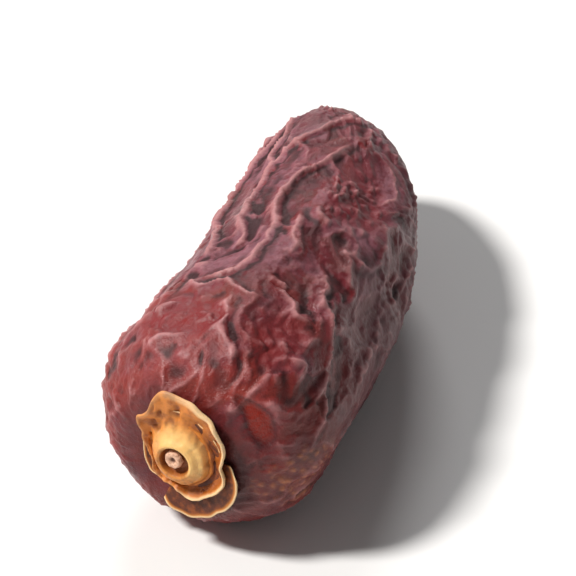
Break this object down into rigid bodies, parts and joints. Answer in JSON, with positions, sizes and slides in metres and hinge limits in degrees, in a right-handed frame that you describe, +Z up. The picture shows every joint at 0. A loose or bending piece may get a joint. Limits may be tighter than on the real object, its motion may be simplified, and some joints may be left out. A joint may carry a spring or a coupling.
{
  "type": "date fruit",
  "caption": "Dried date palm fruit lying on its side: a long, slightly curved, wrinkled body with a blunt end that carries a small woody cap and the stub of its strand.",
  "frame": {"origin": "on the surface that the date lies on, under the middle of the whole date's length and width", "axes": "+Y along the date from its stem end, which carries the cap, to its tip; +Z up; +X across, away from the hollow side of its slight bend"},
  "size_m": [0.023, 0.054, 0.0217],
  "materials": {
    "date_skin": "papery dried skin, half glossy, dusky reddish purple with paler ridges and dark red hollows",
    "petal": "dry, thin and papery, brown with a pale edge",
    "cup": "dry and woody, amber with a cream dome and a dark ring in the crater",
    "stub": "dry, fibrous, pinkish cut end"
  },
  "bodies": {
    "root": {"fruit": "date_skin", "petal_1": "petal", "petal_2": "petal", "petal_3": "petal", "calyx_cup": "cup", "stalk_stub": "stub"}
  },
  "joints": []
}
